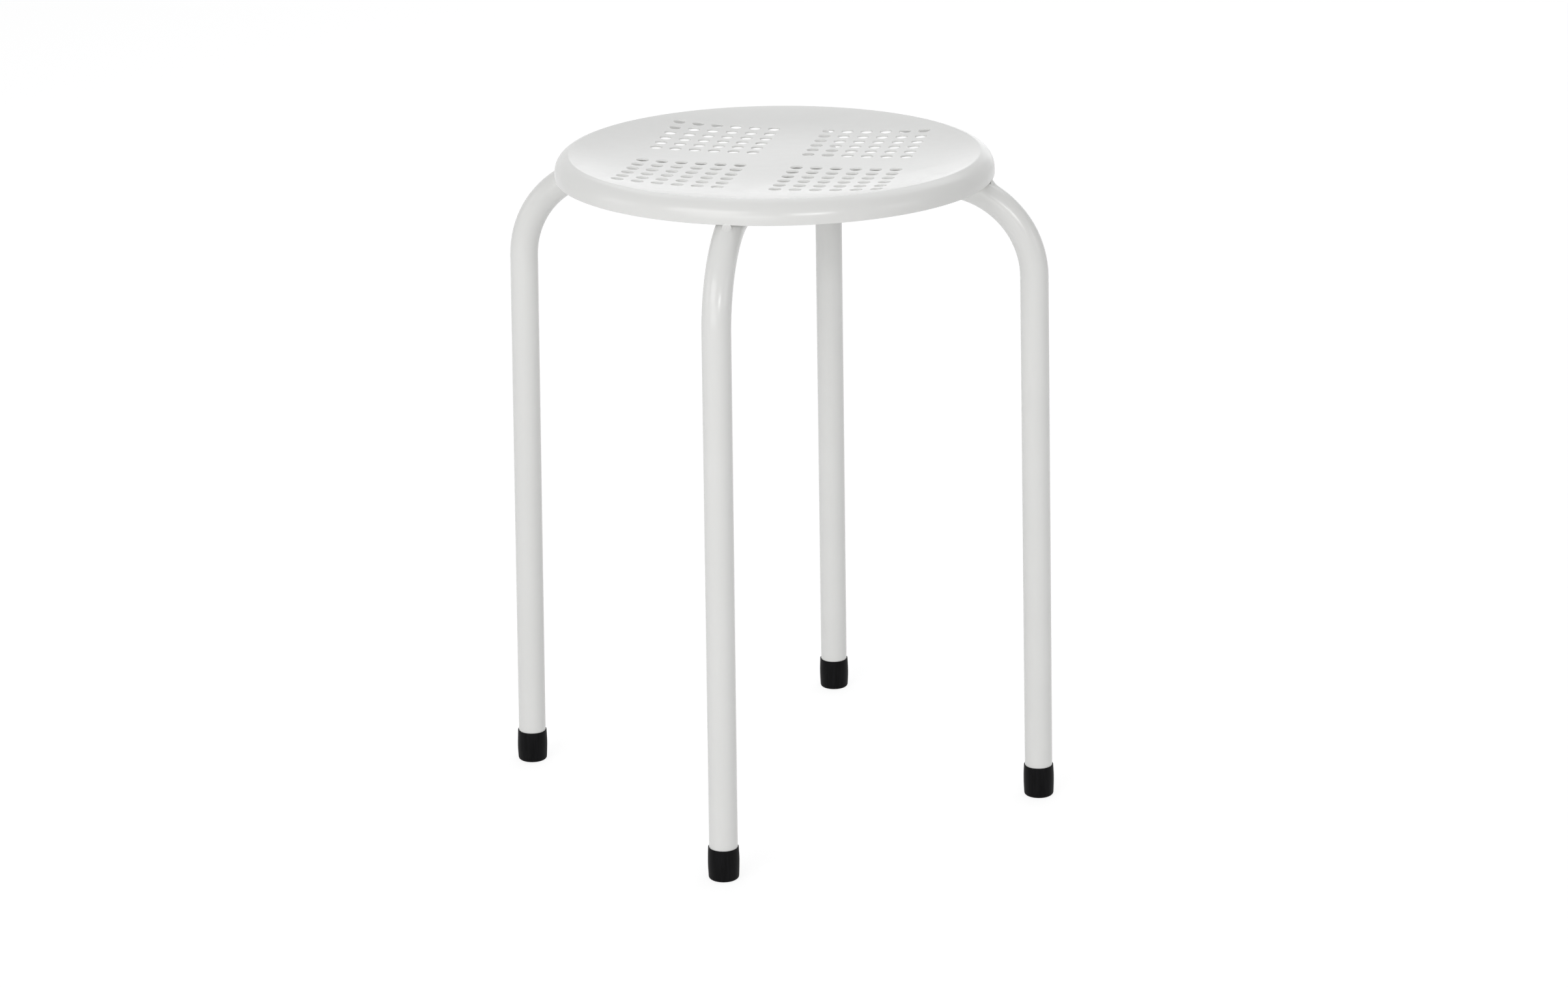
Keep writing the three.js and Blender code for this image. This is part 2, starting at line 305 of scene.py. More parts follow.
def noise(material, place, size, detail=2.0, stretch=(1.0, 1.0, 1.0)):
    """Noise whose lumps have a size in metres, stretched along the axes."""
    nodes, links = material.node_tree.nodes, material.node_tree.links
    mapping = nodes.new("ShaderNodeMapping")
    mapping.inputs["Scale"].default_value = [1.0 / factor for factor in stretch]
    links.new(place, mapping.inputs["Vector"])
    texture = nodes.new("ShaderNodeTexNoise")
    texture.inputs["Scale"].default_value = 1.0 / size
    texture.inputs["Detail"].default_value = detail
    links.new(mapping.outputs["Vector"], texture.inputs["Vector"])
    return texture.outputs["Fac"]


def spread(material, value, low, high):
    """Maps the middle of a noise to a range."""
    nodes, links = material.node_tree.nodes, material.node_tree.links
    remap = nodes.new("ShaderNodeMapRange")
    remap.inputs["From Min"].default_value = NOISE_LOW
    remap.inputs["From Max"].default_value = NOISE_HIGH
    remap.inputs["To Min"].default_value = low
    remap.inputs["To Max"].default_value = high
    links.new(value, remap.inputs["Value"])
    return remap.outputs["Result"]


def mixed_colour(material, value, low, high):
    """A colour between two others, led by a value."""
    nodes, links = material.node_tree.nodes, material.node_tree.links
    mix = nodes.new("ShaderNodeMix")
    mix.data_type = "RGBA"
    mix.inputs["A"].default_value = (*low, 1.0)
    mix.inputs["B"].default_value = (*high, 1.0)
    links.new(value, mix.inputs["Factor"])
    return mix.outputs["Result"]


def bumped(material, height, depth, strength, below=None):
    """A bump of a depth in metres, over another bump if there is one."""
    nodes, links = material.node_tree.nodes, material.node_tree.links
    bump = nodes.new("ShaderNodeBump")
    bump.inputs["Distance"].default_value = depth
    bump.inputs["Strength"].default_value = strength
    links.new(height, bump.inputs["Height"])
    if below is not None:
        links.new(below, bump.inputs["Normal"])
    return bump.outputs["Normal"]


def powder_coat(finish):
    """White powder coat: an even colour, a soft gloss and a faint orange peel."""
    name = "white_powder_coat"
    if name in bpy.data.materials:
        return bpy.data.materials[name]
    material, shader, place = new_material(name)
    links = material.node_tree.links
    white = tuple(finish.coat)
    thin = tuple(channel * THIN_COAT_SHARE for channel in white)
    cloud = spread(material, noise(material, place, CLOUD_SIZE), 0.0, 1.0)
    links.new(mixed_colour(material, cloud, thin, white), shader.inputs["Base Color"])
    patches = noise(material, place, PATCH_SIZE)
    rough = finish.coat_roughness
    sheen = spread(material, patches, rough - PATCH_ROUGHNESS, rough + PATCH_ROUGHNESS)
    links.new(sheen, shader.inputs["Roughness"])
    peel = noise(material, place, finish.peel_size, detail=1.0)
    waves = noise(material, place, PEELS_PER_WAVE * finish.peel_size, detail=1.0)
    surface = bumped(material, peel, PEEL_DEPTH, PEEL_STRENGTH)
    surface = bumped(material, waves, WAVE_DEPTH, WAVE_STRENGTH, below=surface)
    links.new(surface, shader.inputs["Normal"])
    shader.inputs["IOR"].default_value = COAT_IOR
    return material


def black_rubber(finish):
    """Black moulded rubber: faint upright draw lines from the mould and a fine grain."""
    name = "moulded_black_rubber"
    if name in bpy.data.materials:
        return bpy.data.materials[name]
    material, shader, place = new_material(name)
    links = material.node_tree.links
    dark = tuple(channel * DARK_RUBBER_SHARE for channel in finish.rubber)
    worn = tuple(channel * WORN_RUBBER_SHARE for channel in finish.rubber)
    upright = (1.0, 1.0, DRAW_LINE_STRETCH)
    lines = noise(material, place, DRAW_LINE_SIZE, detail=3.0, stretch=upright)
    tone = mixed_colour(material, spread(material, lines, 0.0, 1.0), dark, worn)
    links.new(tone, shader.inputs["Base Color"])
    rough = finish.rubber_roughness
    sheen = spread(material, lines, rough - SMOOTHER_RUBBER, rough + ROUGHER_RUBBER)
    links.new(sheen, shader.inputs["Roughness"])
    grain = noise(material, place, GRAIN_SIZE)
    surface = bumped(material, lines, DRAW_LINE_DEPTH, RUBBER_BUMP_STRENGTH)
    surface = bumped(material, grain, GRAIN_DEPTH, RUBBER_BUMP_STRENGTH, below=surface)
    shader.inputs["Specular IOR Level"].default_value = RUBBER_SPECULAR
    links.new(surface, shader.inputs["Normal"])
    return material


# Seat pan

# Grid steps across half the cross, and across each hole cell
CELL_STEPS = 8
# Radius of the ring of faces around a hole, as a share of the hole's
COLLAR_SHARE = 1.28
MARGIN_RINGS = 12
MARGIN_NARROWING = 1.6
CREST_STEPS = 8
ROLL_STEPS = 14
PUNCH_STEPS = 3


def grid_place(pan, steps):
    """Where a grid line lies, which is counted from the middle.

    Even steps run over half the cross first, and then over the hole cells.
    """
    cross_half = pan.first_hole - pan.hole_pitch / 2
    count = abs(steps)
    if count <= CELL_STEPS:
        place = cross_half * count / CELL_STEPS
    else:
        place = cross_half + pan.hole_pitch * (count - CELL_STEPS) / CELL_STEPS
    return math.copysign(place, steps)


def rim_centres(pan):
    """Centres of the crest's arc and of the roll's arc, as (radius, level)."""
    way = Vector((math.sin(pan.crest_turn), math.cos(pan.crest_turn)))
    apart = way * (pan.roll_radius - pan.crest_radius)
    crest = Vector((pan.radius - pan.roll_radius + apart.x, pan.crest - pan.crest_radius))
    return crest, crest - apart


def lip_place(pan):
    """Radius and level at which the dish meets the crest's arc."""
    crest_centre = rim_centres(pan)[0]
    way = Vector((-math.sin(pan.lip_angle), math.cos(pan.lip_angle)))
    return crest_centre + pan.crest_radius * way


def dish_level(pan, radius):
    """Height of the upper face: a power of the radius that meets the crest at its slope."""
    lip_radius, lip_level = lip_place(pan)
    floor_level = pan.crest - pan.dish_depth
    exponent = math.tan(pan.lip_angle) * lip_radius / (lip_level - floor_level)
    return floor_level + (lip_level - floor_level) * (radius / lip_radius) ** exponent


def flat_blank(pan):
    """A flat square grid whose lines follow the hole cells."""
    bm = bmesh.new()
    half = CELL_STEPS * (pan.hole_rows + 1)
    bmesh.ops.create_grid(bm, x_segments=2 * half, y_segments=2 * half, size=half)
    for vert in bm.verts:
        vert.co.x = grid_place(pan, round(vert.co.x))
        vert.co.y = grid_place(pan, round(vert.co.y))
    return bm


def punch_holes(bm, pan):
    """Makes each hole cell one face, narrows it in rings to the hole, and takes it out."""
    half = pan.hole_pitch / 2
    cells = []
    by_cell = {}
    for face in bm.faces:
        middle = face.calc_center_median()
        column = (abs(middle.x) - pan.first_hole + half) / pan.hole_pitch
        line = (abs(middle.y) - pan.first_hole + half) / pan.hole_pitch
        if column > 0 and line > 0:
            key = (middle.x > 0, middle.y > 0, int(column), int(line))
            by_cell.setdefault(key, []).append(face)
    for faces in by_cell.values():
        cells += bmesh.ops.dissolve_faces(bm, faces=faces, use_verts=False)["region"]
    middles = [cell.calc_center_bounds() for cell in cells]
    for radius in (pan.hole_radius * COLLAR_SHARE, pan.hole_radius):
        bmesh.ops.inset_individual(bm, faces=cells, thickness=0.0, use_even_offset=False)
        for cell, middle in zip(cells, middles):
            for vert in cell.verts:
                out = vert.co - middle
                vert.co = middle + out.normalized() * radius
    bmesh.ops.delete(bm, geom=cells, context="FACES_ONLY")


def widen_to_circle(bm, pan):
    """Rings from the square grid out to the circle where the dish meets the crest."""
    lip_radius = lip_place(pan).x
    side = grid_place(pan, CELL_STEPS * (pan.hole_rows + 1))
    outermost = {v for v in bm.verts if max(abs(v.co.x), abs(v.co.y)) > side - MILLIMETRE}
    edge = [e for e in open_edges(bm) if outermost.issuperset(e.verts)]
    for ring in range(1, MARGIN_RINGS + 1):
        verts, edge = extruded(bm, edge)
        for vert in verts:
            out = vert.co.xy.normalized()
            square = side / max(abs(out.x), abs(out.y))
            # The rings narrow towards the lip, where the dish bends most
            left = (1 - ring / MARGIN_RINGS) ** MARGIN_NARROWING
            radius = lip_radius - (lip_radius - square) * left
            vert.co.xy = out * radius
    return edge


def press_dish(bm, pan):
    """Brings every point of the blank to the dish's level."""
    for vert in bm.verts:
        vert.co.z = dish_level(pan, vert.co.xy.length)


def roll_rim(bm, pan, edge):
    """Turns the rim over the crest, rolls it down and runs it on to the skirt's edge."""
    crest_centre, roll_centre = rim_centres(pan)
    profile = []
    for centre, radius, start, end, steps in (
            (crest_centre, pan.crest_radius, -pan.lip_angle, pan.crest_turn, CREST_STEPS),
            (roll_centre, pan.roll_radius, pan.crest_turn, math.radians(90), ROLL_STEPS)):
        turns = [start + (end - start) * i / steps for i in range(1, steps + 1)]
        profile += [centre + radius * Vector((math.sin(turn), math.cos(turn))) for turn in turns]
    profile.append(Vector((pan.radius, pan.skirt_edge)))
    for radius, level in profile:
        verts, edge = extruded(bm, edge)
        for vert in verts:
            out = vert.co.xy.normalized() * radius
            vert.co = (out.x, out.y, level)


def rounded_sheet_edges(bm, pan):
    """Rounds the punched upper edges widely and the others a little."""
    upper = []
    for edge in hard_edges(bm, CUT_EDGES):
        middle = (edge.verts[0].co + edge.verts[1].co) / 2
        is_upper = middle.z > dish_level(pan, middle.xy.length) - pan.sheet / 2
        if is_upper and middle.xy.length < pan.radius - pan.roll_radius:
            upper.append(edge)
    round_edges(bm, upper, pan.punch_rounding, PUNCH_STEPS)
    round_edges(bm, hard_edges(bm, CUT_EDGES), pan.edge_rounding, EDGE_STEPS)


class STOOL_OT_seat_pan(bpy.types.Operator):
    """Punch, press and roll the seat pan"""

    bl_idname = "stool.seat_pan"
    bl_label = "Seat Pan"

    def execute(self, context):
        pan = context.scene.stool_seat_pan
        bm = flat_blank(pan)
        punch_holes(bm, pan)
        edge = widen_to_circle(bm, pan)
        press_dish(bm, pan)
        roll_rim(bm, pan, edge)
        bmesh.ops.recalc_face_normals(bm, faces=bm.faces)
        bmesh.ops.solidify(bm, geom=bm.faces[:], thickness=pan.sheet)
        bm.normal_update()
        rounded_sheet_edges(bm, pan)
        material = powder_coat(context.scene.stool_finish)
        finished_piece("pressed_seat_pan", bm, material, "powder_coat", "seat_pan")
        return {"FINISHED"}


# Leg tubes

TUBE_SIDES = 48
BEND_STEPS = 24
# As CUT_EDGES, for a coped end, which meets the inside of its tube at flatter angles
COPED_EDGES = 40


class LegLine:
    """Centreline of one leg in its own XZ plane, with X out from the middle of the seat."""

    def __init__(self, tube):
        lean = tube.splay
        self.turn = math.radians(90) - lean
        self.level = hoop_high.z - tube.radius
        self.down = Vector((math.sin(lean), 0, -math.cos(lean)))
        end_level = hoop_low.z + tube.radius * math.sin(lean)
        self.end = Vector((hoop_high.x - tube.radius * math.cos(lean), 0, end_level))
        radius_at_cross = self.end.x - (self.level - self.end.z) * math.tan(lean)
        start = radius_at_cross - tube.bend_radius * math.tan(self.turn / 2)
        self.bend_start = Vector((start, 0, self.level))
        self.bend_centre = self.bend_start - Vector((0, 0, tube.bend_radius))
        self.foot = self.end + self.down * (self.end.z / math.cos(lean))

    def tube_top(self, tube, x, y):
        """Height of the tube's upper surface over a point beside or on the bend."""
        across = math.sqrt(tube.radius ** 2 - y ** 2)
        beyond = max(x - self.bend_centre.x, 0)
        return self.bend_centre.z + math.sqrt((tube.bend_radius + across) ** 2 - beyond ** 2)


def half_tube(tube):
    """The outside of a tube from the middle of the seat, round the bend and to the foot."""
    line = LegLine(tube)
    bm = bmesh.new()
    upright = Matrix.Translation((0, 0, line.level)) @ Matrix.Rotation(math.radians(90), 4, "Y")
    bmesh.ops.create_circle(
        bm, cap_ends=False, radius=tube.radius, segments=TUBE_SIDES, matrix=upright)
    verts, edge = extruded(bm, bm.edges[:])
    bmesh.ops.translate(bm, verts=verts, vec=(line.bend_start.x, 0, 0))
    made = bmesh.ops.spin(
        bm, geom=edge, cent=line.bend_centre, axis=(0, 1, 0), angle=line.turn, steps=BEND_STEPS,
        use_merge=False)["geom_last"]
    verts = extruded(bm, only(made, BMEdge))[0]
    way = Vector((math.sin(line.turn), 0, math.cos(line.turn)))
    bend_end = line.bend_centre + way * tube.bend_radius
    bmesh.ops.translate(bm, verts=verts, vec=line.end - bend_end)
    return bm


def walled(bm, tube):
    """Gives a tube its wall, inwards."""
    bmesh.ops.remove_doubles(bm, verts=bm.verts, dist=MERGE_DISTANCE)
    bmesh.ops.recalc_face_normals(bm, faces=bm.faces)
    bmesh.ops.solidify(bm, geom=bm.faces[:], thickness=tube.wall)
    bm.normal_update()


class STOOL_OT_leg_tubes(bpy.types.Operator):
    """Bend the hoop and the two butted legs"""

    bl_idname = "stool.leg_tubes"
    bl_label = "Leg Tubes"

    def execute(self, context):
        tube = context.scene.stool_leg_tube
        material = powder_coat(context.scene.stool_finish)
        hoop = half_tube(tube)
        bmesh.ops.mirror(hoop, geom=whole(hoop), axis="X", merge_dist=MERGE_DISTANCE)
        walled(hoop, tube)
        round_edges(hoop, hard_edges(hoop, CUT_EDGES), tube.cut_rounding, EDGE_STEPS)
        finished_piece("side_hoop_tube", hoop, material, "powder_coat", "side_hoop")
        for side in ("front", "rear"):
            leg = half_tube(tube)
            walled(leg, tube)
            self.cope(leg, tube)
            round_edges(leg, hard_edges(leg, COPED_EDGES), tube.cut_rounding, EDGE_STEPS)
            turn_about_seat(leg, math.radians(LEG_TURNS[side]))
            finished_piece(f"{side}_leg_tube", leg, material, "powder_coat", f"{side}_leg")
        return {"FINISHED"}

    @staticmethod
    def cope(leg, tube):
        """Shapes the inner end of a leg to the side of the hoop."""
        level = LegLine(tube).level
        reach = tube.radius + tube.coping_gap
        for vert in leg.verts:
            if vert.co.x < tube.radius:
                vert.co.x = math.sqrt(reach ** 2 - (vert.co.z - level) ** 2)


# Welds

BEAD_SIDES = 14
RIPPLE_STEPS = 5
# Radius that a corner bead keeps at its ends, as a share of its own
BLUNT_END = 0.2
RIM_BEAD_SIDES, RIM_BEAD_ROWS = 48, 32
# How far each bead on the rim was laid beside its leg's top line
RIM_BEAD_SHIFTS = {
    "front": 1.1 * MILLIMETRE,
    "right": 0.4 * MILLIMETRE,
    "rear": -0.5 * MILLIMETRE,
    "left": 0.3 * MILLIMETRE,
}


def ripple(weld, along):
    """How far a bead swells at a place along it, as a share of its radius."""
    return 1 + weld.ripple_share * math.sin(2 * math.pi * along / weld.ripple_pitch)


def rod(length_along, radius, rings):
    """A straight rod along X from the origin, cut into rings, with closed ends."""
    bm = bmesh.new()
    lying = Matrix.Translation((length_along / 2, 0, 0)) @ Matrix.Rotation(math.radians(90), 4, "Y")
    bmesh.ops.create_cone(
        bm, cap_ends=True, cap_tris=False, segments=BEAD_SIDES, radius1=radius, radius2=radius,
        depth=length_along, matrix=lying)
    lengthwise = [e for e in bm.edges if abs(e.verts[0].co.x - e.verts[1].co.x) > length_along / 2]
    bmesh.ops.subdivide_edges(bm, edges=lengthwise, cuts=rings - 1, use_grid_fill=True)
    return bm


def corner_bead(tube, weld, turn):
    """A bead along the corner of the crossing tubes, which is half an ellipse under them."""
    level = LegLine(tube).level
    wide = tube.radius * math.sqrt(2)
    run = (wide + tube.radius) * weld.cross_sweep
    rings = round(run / weld.ripple_pitch * RIPPLE_STEPS)
    bm = rod(run, weld.cross_radius, rings)
    for vert in bm.verts:
        along = vert.co.x / run
        end_share = min(along, 1 - along) * run / weld.cross_radius
        taper = math.sqrt(max(1 - max(1 - end_share, 0) ** 2, BLUNT_END ** 2))
        swell = ripple(weld, vert.co.x) * taper
        at = weld.cross_sweep * (2 * along - 1)
        point = Vector((wide * math.sin(at), 0, level - tube.radius * math.cos(at)))
        heading = Vector((wide * math.cos(at), 0, tube.radius * math.sin(at))).normalized()
        outward = Vector((heading.z, 0, -heading.x))
        vert.co = point + outward * vert.co.z * swell + Vector((0, 1, 0)) * vert.co.y * swell
    turn_about_seat(bm, turn)
    bmesh.ops.recalc_face_normals(bm, faces=bm.faces)
    return bm


class STOOL_OT_cross_weld(bpy.types.Operator):
    """Lay the beads that join the tubes under the seat"""

    bl_idname = "stool.cross_weld"
    bl_label = "Cross Weld"

    def execute(self, context):
        scene = context.scene
        both = bmesh.new()
        for degrees in (45, -45):
            bead = corner_bead(scene.stool_leg_tube, scene.stool_weld, math.radians(degrees))
            mesh = bpy.data.meshes.new("corner_bead")
            bead.to_mesh(mesh)
            bead.free()
            both.from_mesh(mesh)
            bpy.data.meshes.remove(mesh)
        material = powder_coat(scene.stool_finish)
        finished_piece("cross_weld_beads", both, material, "powder_coat", "cross_weld")
        return {"FINISHED"}


class STOOL_OT_rim_welds(bpy.types.Operator):
    """Lay a bead between the rim and each leg"""

    bl_idname = "stool.rim_welds"
    bl_label = "Rim Welds"

    def execute(self, context):
        scene = context.scene
        material = powder_coat(scene.stool_finish)
        for side, shift in RIM_BEAD_SHIFTS.items():
            bead = self.bead(scene.stool_seat_pan, scene.stool_leg_tube, scene.stool_weld, shift)
            turn_about_seat(bead, math.radians(LEG_TURNS[side]))
            finished_piece(f"{side}_rim_bead", bead, material, "powder_coat", f"{side}_rim_weld")
        return {"FINISHED"}

    @staticmethod
    def bead(pan, tube, weld, shift):
        """A ball pressed into the corner of rim and leg, whose hollow face runs out on both."""
        line = LegLine(tube)
        hollow = 2 / (1 - weld.rim_hollow)
        bm = bmesh.new()
        lying = Matrix.Rotation(math.radians(90), 4, "X")
        bmesh.ops.create_uvsphere(
            bm, u_segments=RIM_BEAD_SIDES, v_segments=RIM_BEAD_ROWS, radius=1.0, matrix=lying)
        for vert in bm.verts:
            across, along, up = vert.co
            y = shift + along * weld.rim_width / 2
            rim = math.sqrt(pan.radius ** 2 - y ** 2)
            climb = pan.skirt_edge + weld.rim_climb - line.tube_top(tube, rim, y)
            swell = ripple(weld, y + across * weld.rim_reach / 2)
            size = math.hypot(across, up)
            turn = math.atan2(up, across)
            out, rise = math.cos(turn), math.sin(turn)
            if out > 0 and rise > 0:
                out, rise = out ** hollow, rise ** hollow
            out *= size * (weld.rim_reach * swell if out > 0 else weld.rim_root)
            rise *= size * (climb * swell if rise > 0 else weld.rim_root)
            vert.co = (rim + out, y, line.tube_top(tube, rim + out, y) + rise)
        bmesh.ops.recalc_face_normals(bm, faces=bm.faces)
        return bm


# Ferrules

FERRULE_SIDES = 64
SOLE_STEPS, WALL_STEPS, LIP_STEPS, BORE_STEPS = 6, 12, 4, 2
# A ring across the sole, as a share of the lip's radius, and the lip's rounding, of its wall
SOLE_RING_SHARE, LIP_ROUNDING_SHARE = 0.5, 0.4
BORE_GAP = 0.05 * MILLIMETRE
# Length of the wall's wavers, and how far apart in the noise the ferrules are
WAVER_SIZE = 7 * MILLIMETRE
WAVER_SHIFT = 10


def arc(centre, radius, start, end, steps):
    """Points of an arc as (radius, level) pairs, with its angles in degrees from the horizontal."""
    turns = [math.radians(start + (end - start) * i / steps) for i in range(steps + 1)]
    return [(centre[0] + radius * math.cos(t), centre[1] + radius * math.sin(t)) for t in turns]


def ferrule_profile(tube, cap):
    """Half section of the ferrule, from the middle of its sole round to the middle of its bore."""
    lip = tube.radius + cap.lip_wall
    low = -cap.trim
    points = [(0, low), (lip * SOLE_RING_SHARE, low)]
    points += arc((lip - cap.rounding, low + cap.rounding), cap.rounding, -90, 0, SOLE_STEPS)
    start = low + cap.rounding
    top_rounding = cap.lip_wall * LIP_ROUNDING_SHARE
    rise = cap.height - top_rounding - start
    for i in range(1, WALL_STEPS):
        out = cap.bulge * math.sin(math.pi * i / WALL_STEPS)
        points.append((lip + out, start + rise * i / WALL_STEPS))
    points += arc((lip - top_rounding, cap.height - top_rounding), top_rounding, 0, 90, LIP_STEPS)
    bore = tube.radius + BORE_GAP
    inner = top_rounding / 2
    points += arc((bore + inner, cap.height - inner), inner, 90, 180, BORE_STEPS)
    points += [(bore, cap.sole), (0, cap.sole)]
    return points


class STOOL_OT_ferrules(bpy.types.Operator):
    """Mould a ferrule for each leg"""

    bl_idname = "stool.ferrules"
    bl_label = "Ferrules"

    def execute(self, context):
        scene = context.scene
        material = black_rubber(scene.stool_finish)
        for number, (side, turn) in enumerate(LEG_TURNS.items()):
            cap = self.moulded(scene.stool_leg_tube, scene.stool_ferrule, number * WAVER_SHIFT)
            turn_about_seat(cap, math.radians(turn))
            finished_piece(f"{side}_ferrule_cap", cap, material, "black_rubber", f"{side}_ferrule")
        return {"FINISHED"}

    @staticmethod
    def moulded(tube, cap, shift):
        """One ferrule on the leg that runs along X, leaning with it and cut flat on the floor."""
        bm = bmesh.new()
        verts = [bm.verts.new((radius, 0, level)) for radius, level in ferrule_profile(tube, cap)]
        edges = [bm.edges.new(pair) for pair in zip(verts, verts[1:])]
        bmesh.ops.spin(
            bm, geom=verts + edges, cent=(0, 0, 0), axis=(0, 0, 1), angle=math.radians(360),
            steps=FERRULE_SIDES, use_merge=True)
        bmesh.ops.remove_doubles(bm, verts=bm.verts, dist=MERGE_DISTANCE)
        for vert in bm.verts:
            if vert.co.xy.length > tube.radius + cap.lip_wall / 2:
                waver = noise_at(vert.co / WAVER_SIZE + Vector((shift, 0, 0)))
                vert.co.xy += vert.co.xy.normalized() * waver * cap.unevenness
        foot = Matrix.Translation(LegLine(tube).foot) @ Matrix.Rotation(-tube.splay, 4, "Y")
        bmesh.ops.transform(bm, matrix=foot, verts=bm.verts)
        cut = bmesh.ops.bisect_plane(
            bm, geom=whole(bm), plane_co=(0, 0, 0), plane_no=(0, 0, 1),
            clear_inner=True)["geom_cut"]
        bmesh.ops.edgeloop_fill(bm, edges=only(cut, BMEdge))
        bmesh.ops.recalc_face_normals(bm, faces=bm.faces)
        return bm


# Stage

def grey(level):
    """A colour without a tint, for a socket."""
    return (level, level, level, 1.0)


def background_ray(tree):
    """1 where a ray comes straight from the camera, a glossy face or glass, and 0 elsewhere."""
    path = tree.nodes.new("ShaderNodeLightPath")
    total = path.outputs["Is Camera Ray"]
    for name in ("Is Glossy Ray", "Is Transmission Ray"):
        larger = tree.nodes.new("ShaderNodeMath")
        larger.operation = "MAXIMUM"
        tree.links.new(total, larger.inputs[0])
        tree.links.new(path.outputs[name], larger.inputs[1])
        total = larger.outputs[0]
    return total


def white_room(strength):
    """A world that looks white and lights the stool evenly with less."""
    world = bpy.data.worlds.new("white_room")
    world.use_nodes = True
    tree = world.node_tree
    tree.nodes.clear()
    light = tree.nodes.new("ShaderNodeBackground")
    light.inputs["Color"].default_value = grey(1.0)
    light.inputs["Strength"].default_value = strength
    white = tree.nodes.new("ShaderNodeBackground")
    white.inputs["Color"].default_value = grey(1.0)
    mix = tree.nodes.new("ShaderNodeMixShader")
    output = tree.nodes.new("ShaderNodeOutputWorld")
    tree.links.new(background_ray(tree), mix.inputs["Fac"])
    tree.links.new(light.outputs[0], mix.inputs[1])
    tree.links.new(white.outputs[0], mix.inputs[2])
    tree.links.new(mix.outputs[0], output.inputs["Surface"])
    bpy.context.scene.world = world


# The floor's own colour, and what is seen of it: a glow and a share of the light that falls on it
FLOOR_WHITE = 0.95
FLOOR_GLOW = 0.81
FLOOR_SHADE_SHARE = 0.3


def floor_material():
    """A pale floor that looks white and keeps a faint shadow of the stool."""
    material = bpy.data.materials.new("pale_floor")
    material.use_nodes = True
    tree = material.node_tree
    tree.nodes.clear()
    matt = tree.nodes.new("ShaderNodeBsdfDiffuse")
    matt.inputs["Color"].default_value = grey(FLOOR_WHITE)
    shade = tree.nodes.new("ShaderNodeBsdfDiffuse")
    shade.inputs["Color"].default_value = grey(FLOOR_SHADE_SHARE)
    glow = tree.nodes.new("ShaderNodeEmission")
    glow.inputs["Strength"].default_value = FLOOR_GLOW
    seen = tree.nodes.new("ShaderNodeAddShader")
    mix = tree.nodes.new("ShaderNodeMixShader")
    output = tree.nodes.new("ShaderNodeOutputMaterial")
    tree.links.new(shade.outputs[0], seen.inputs[0])
    tree.links.new(glow.outputs[0], seen.inputs[1])
    tree.links.new(background_ray(tree), mix.inputs["Fac"])
    tree.links.new(matt.outputs[0], mix.inputs[1])
    tree.links.new(seen.outputs[0], mix.inputs[2])
    tree.links.new(mix.outputs[0], output.inputs["Surface"])
    return material


PLAIN = (1.0, 1.0, 1.0)
COOL = (0.978, 0.989, 1.0)
LAMP_DISTANCE = 4.0
# Height of the point that the lamps face, as a share of the stool's
LAMP_TARGET_SHARE = 0.6
# Name, degrees round from the front towards the right, degrees up, size in metres, and tint
LAMPS = (
    ("key", -25, 31, (2.6, 1.6), PLAIN),
    ("corner", 32, 22, (1.3, 0.7), PLAIN),
    ("front", -10, 9, (3.2, 1.2), PLAIN),
    ("left", -75, 15, (1.6, 1.2), PLAIN),
    ("right", 80, 15, (1.6, 1.2), PLAIN),
    ("back", 183, 7, (2.0, 1.3), COOL),
    ("high_back", 180, 55, (5.0, 3.0), COOL),
    ("ceiling", 180, 80, (6.0, 6.0), COOL),
)


def way_to(azimuth, elevation):
    """The direction towards an azimuth, from the front to the right, and an elevation."""
    flat = math.cos(elevation)
    return Vector((math.sin(azimuth) * flat, -math.cos(azimuth) * flat, math.sin(elevation)))


def soft_lamp(name, azimuth, elevation, size, tint, watts, target):
    """A rectangular lamp that faces the stool and isn't itself seen."""
    data = bpy.data.lights.new(f"{name}_lamp", "AREA")
    data.shape = "RECTANGLE"
    data.size, data.size_y = size
    data.color = tint
    data.energy = watts
    lamp = bpy.data.objects.new(f"{name}_lamp", data)
    way = way_to(math.radians(azimuth), math.radians(elevation))
    lamp.location = target + way * LAMP_DISTANCE
    lamp.rotation_mode = "QUATERNION"
    lamp.rotation_quaternion = way.to_track_quat("Z", "Y")
    lamp.visible_camera = False
    bpy.context.scene.collection.objects.link(lamp)


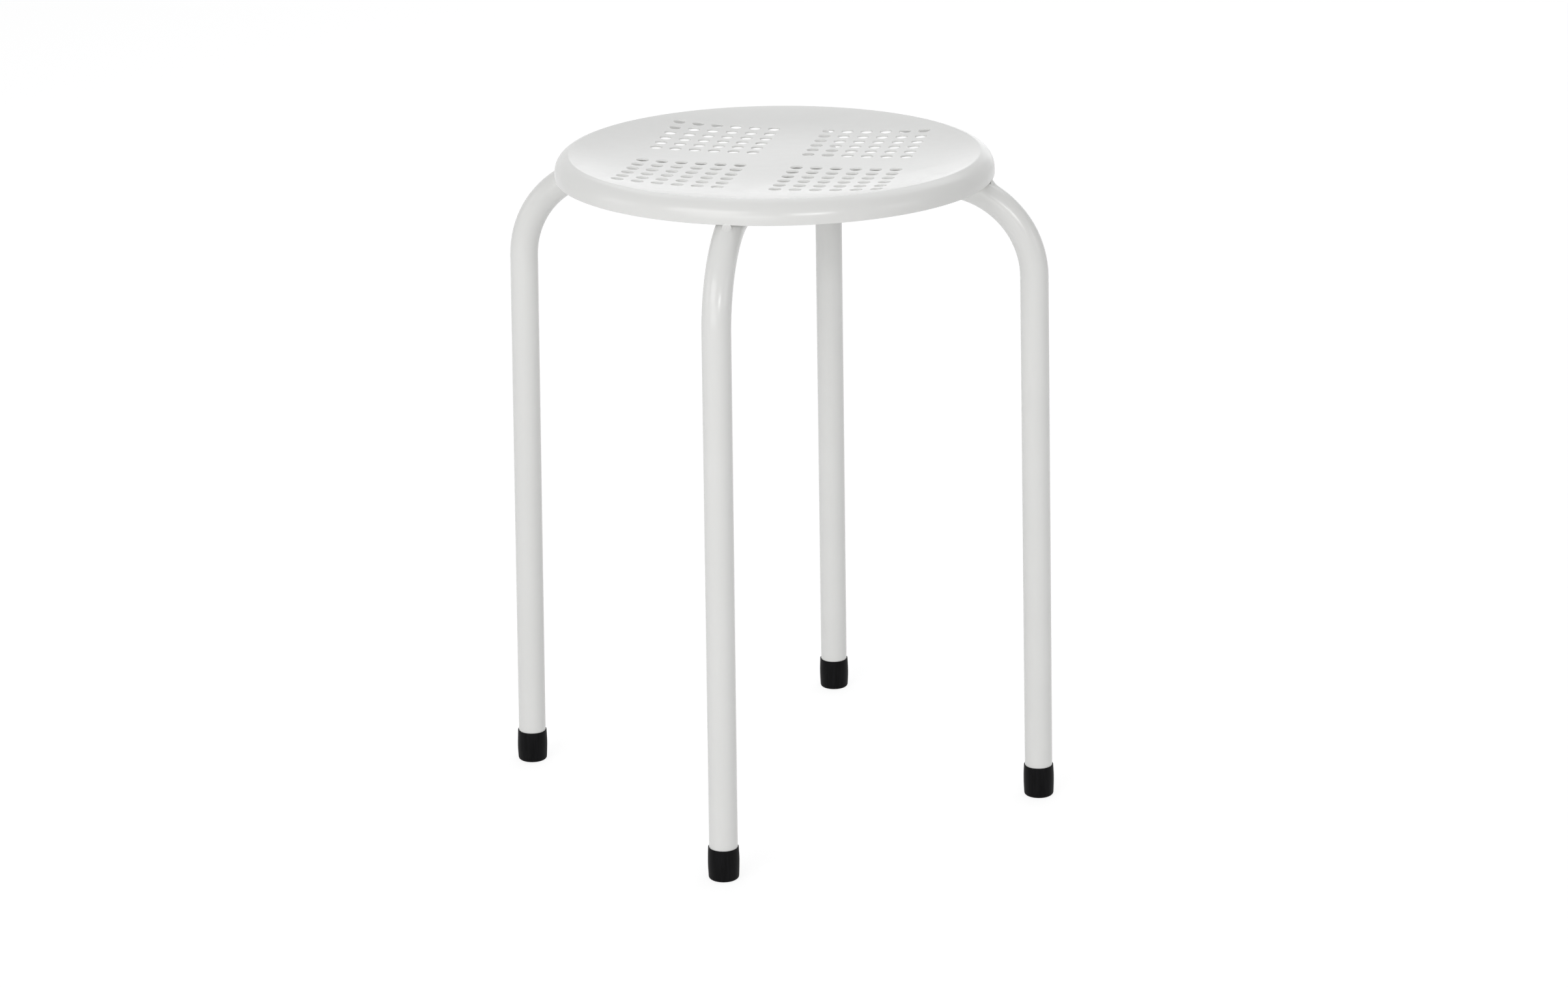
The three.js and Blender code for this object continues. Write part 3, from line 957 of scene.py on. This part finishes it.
class STOOL_OT_stage(bpy.types.Operator):
    """Set the floor, the lamps and the camera"""

    bl_idname = "stool.stage"
    bl_label = "Stage"

    def execute(self, context):
        stage = context.scene.stool_stage
        white_room(stage.room)
        self.floor(stage)
        self.camera(context, stage)
        target = Vector((0, 0, seat_high.z * LAMP_TARGET_SHARE))
        for name, azimuth, elevation, size, tint in LAMPS:
            soft_lamp(name, azimuth, elevation, size, tint, getattr(stage, name), target)
        context.scene.view_settings.view_transform = "Standard"
        return {"FINISHED"}

    @staticmethod
    def floor(stage):
        """The floor that the stool stands on."""
        bm = bmesh.new()
        bmesh.ops.create_grid(bm, x_segments=1, y_segments=1, size=stage.floor_size / 2)
        mesh = bpy.data.meshes.new("floor")
        bm.to_mesh(mesh)
        bm.free()
        mesh.materials.append(floor_material())
        floor = bpy.data.objects.new("floor", mesh)
        bpy.context.scene.collection.objects.link(floor)

    @staticmethod
    def camera(context, stage):
        """The camera, a little right of the front and above the seat."""
        data = bpy.data.cameras.new("camera")
        data.lens = stage.lens
        data.clip_end = stage.floor_size * 2
        camera = bpy.data.objects.new("camera", data)
        back = way_to(stage.azimuth, stage.elevation)
        camera.location = Vector(stage.aim) + back * stage.distance
        camera.rotation_mode = "QUATERNION"
        upright = back.to_track_quat("Z", "Y")
        camera.rotation_quaternion = upright @ Quaternion((0, 0, 1), stage.roll)
        context.scene.collection.objects.link(camera)
        context.scene.camera = camera


# Panel and registration

class STOOL_PT_panel(bpy.types.Panel):
    """Lists the stool's pieces and sizes"""

    bl_idname = "STOOL_PT_panel"
    bl_label = "Stacking Stool"
    bl_space_type = "VIEW_3D"
    bl_region_type = "UI"
    bl_category = "Stool"

    def draw(self, context):
        for step in STEPS:
            self.layout.operator(step.bl_idname)
        for name, group in GROUPS.items():
            box = self.layout.box()
            box.label(text=group.__doc__)
            for key in group.__annotations__:
                box.prop(getattr(context.scene, name), key)


GROUPS = {
    "stool_seat_pan": SeatPanSettings,
    "stool_leg_tube": LegTubeSettings,
    "stool_weld": WeldSettings,
    "stool_ferrule": FerruleSettings,
    "stool_finish": FinishSettings,
    "stool_stage": StageSettings,
}
STEPS = (
    STOOL_OT_stage,
    STOOL_OT_seat_pan,
    STOOL_OT_leg_tubes,
    STOOL_OT_cross_weld,
    STOOL_OT_rim_welds,
    STOOL_OT_ferrules,
)


def register():
    for name, group in GROUPS.items():
        bpy.utils.register_class(group)
        setattr(bpy.types.Scene, name, bpy.props.PointerProperty(type=group))
    for made in (*STEPS, STOOL_PT_panel):
        bpy.utils.register_class(made)


def unregister():
    for made in (STOOL_PT_panel, *reversed(STEPS)):
        bpy.utils.unregister_class(made)
    for name, group in reversed(GROUPS.items()):
        delattr(bpy.types.Scene, name)
        bpy.utils.unregister_class(group)


def main():
    """Registers the classes and makes every piece in order."""
    register()
    bpy.ops.stool.stage()
    bpy.ops.stool.seat_pan()
    bpy.ops.stool.leg_tubes()
    bpy.ops.stool.cross_weld()
    bpy.ops.stool.rim_welds()
    bpy.ops.stool.ferrules()


if __name__ == "__main__":
    main()
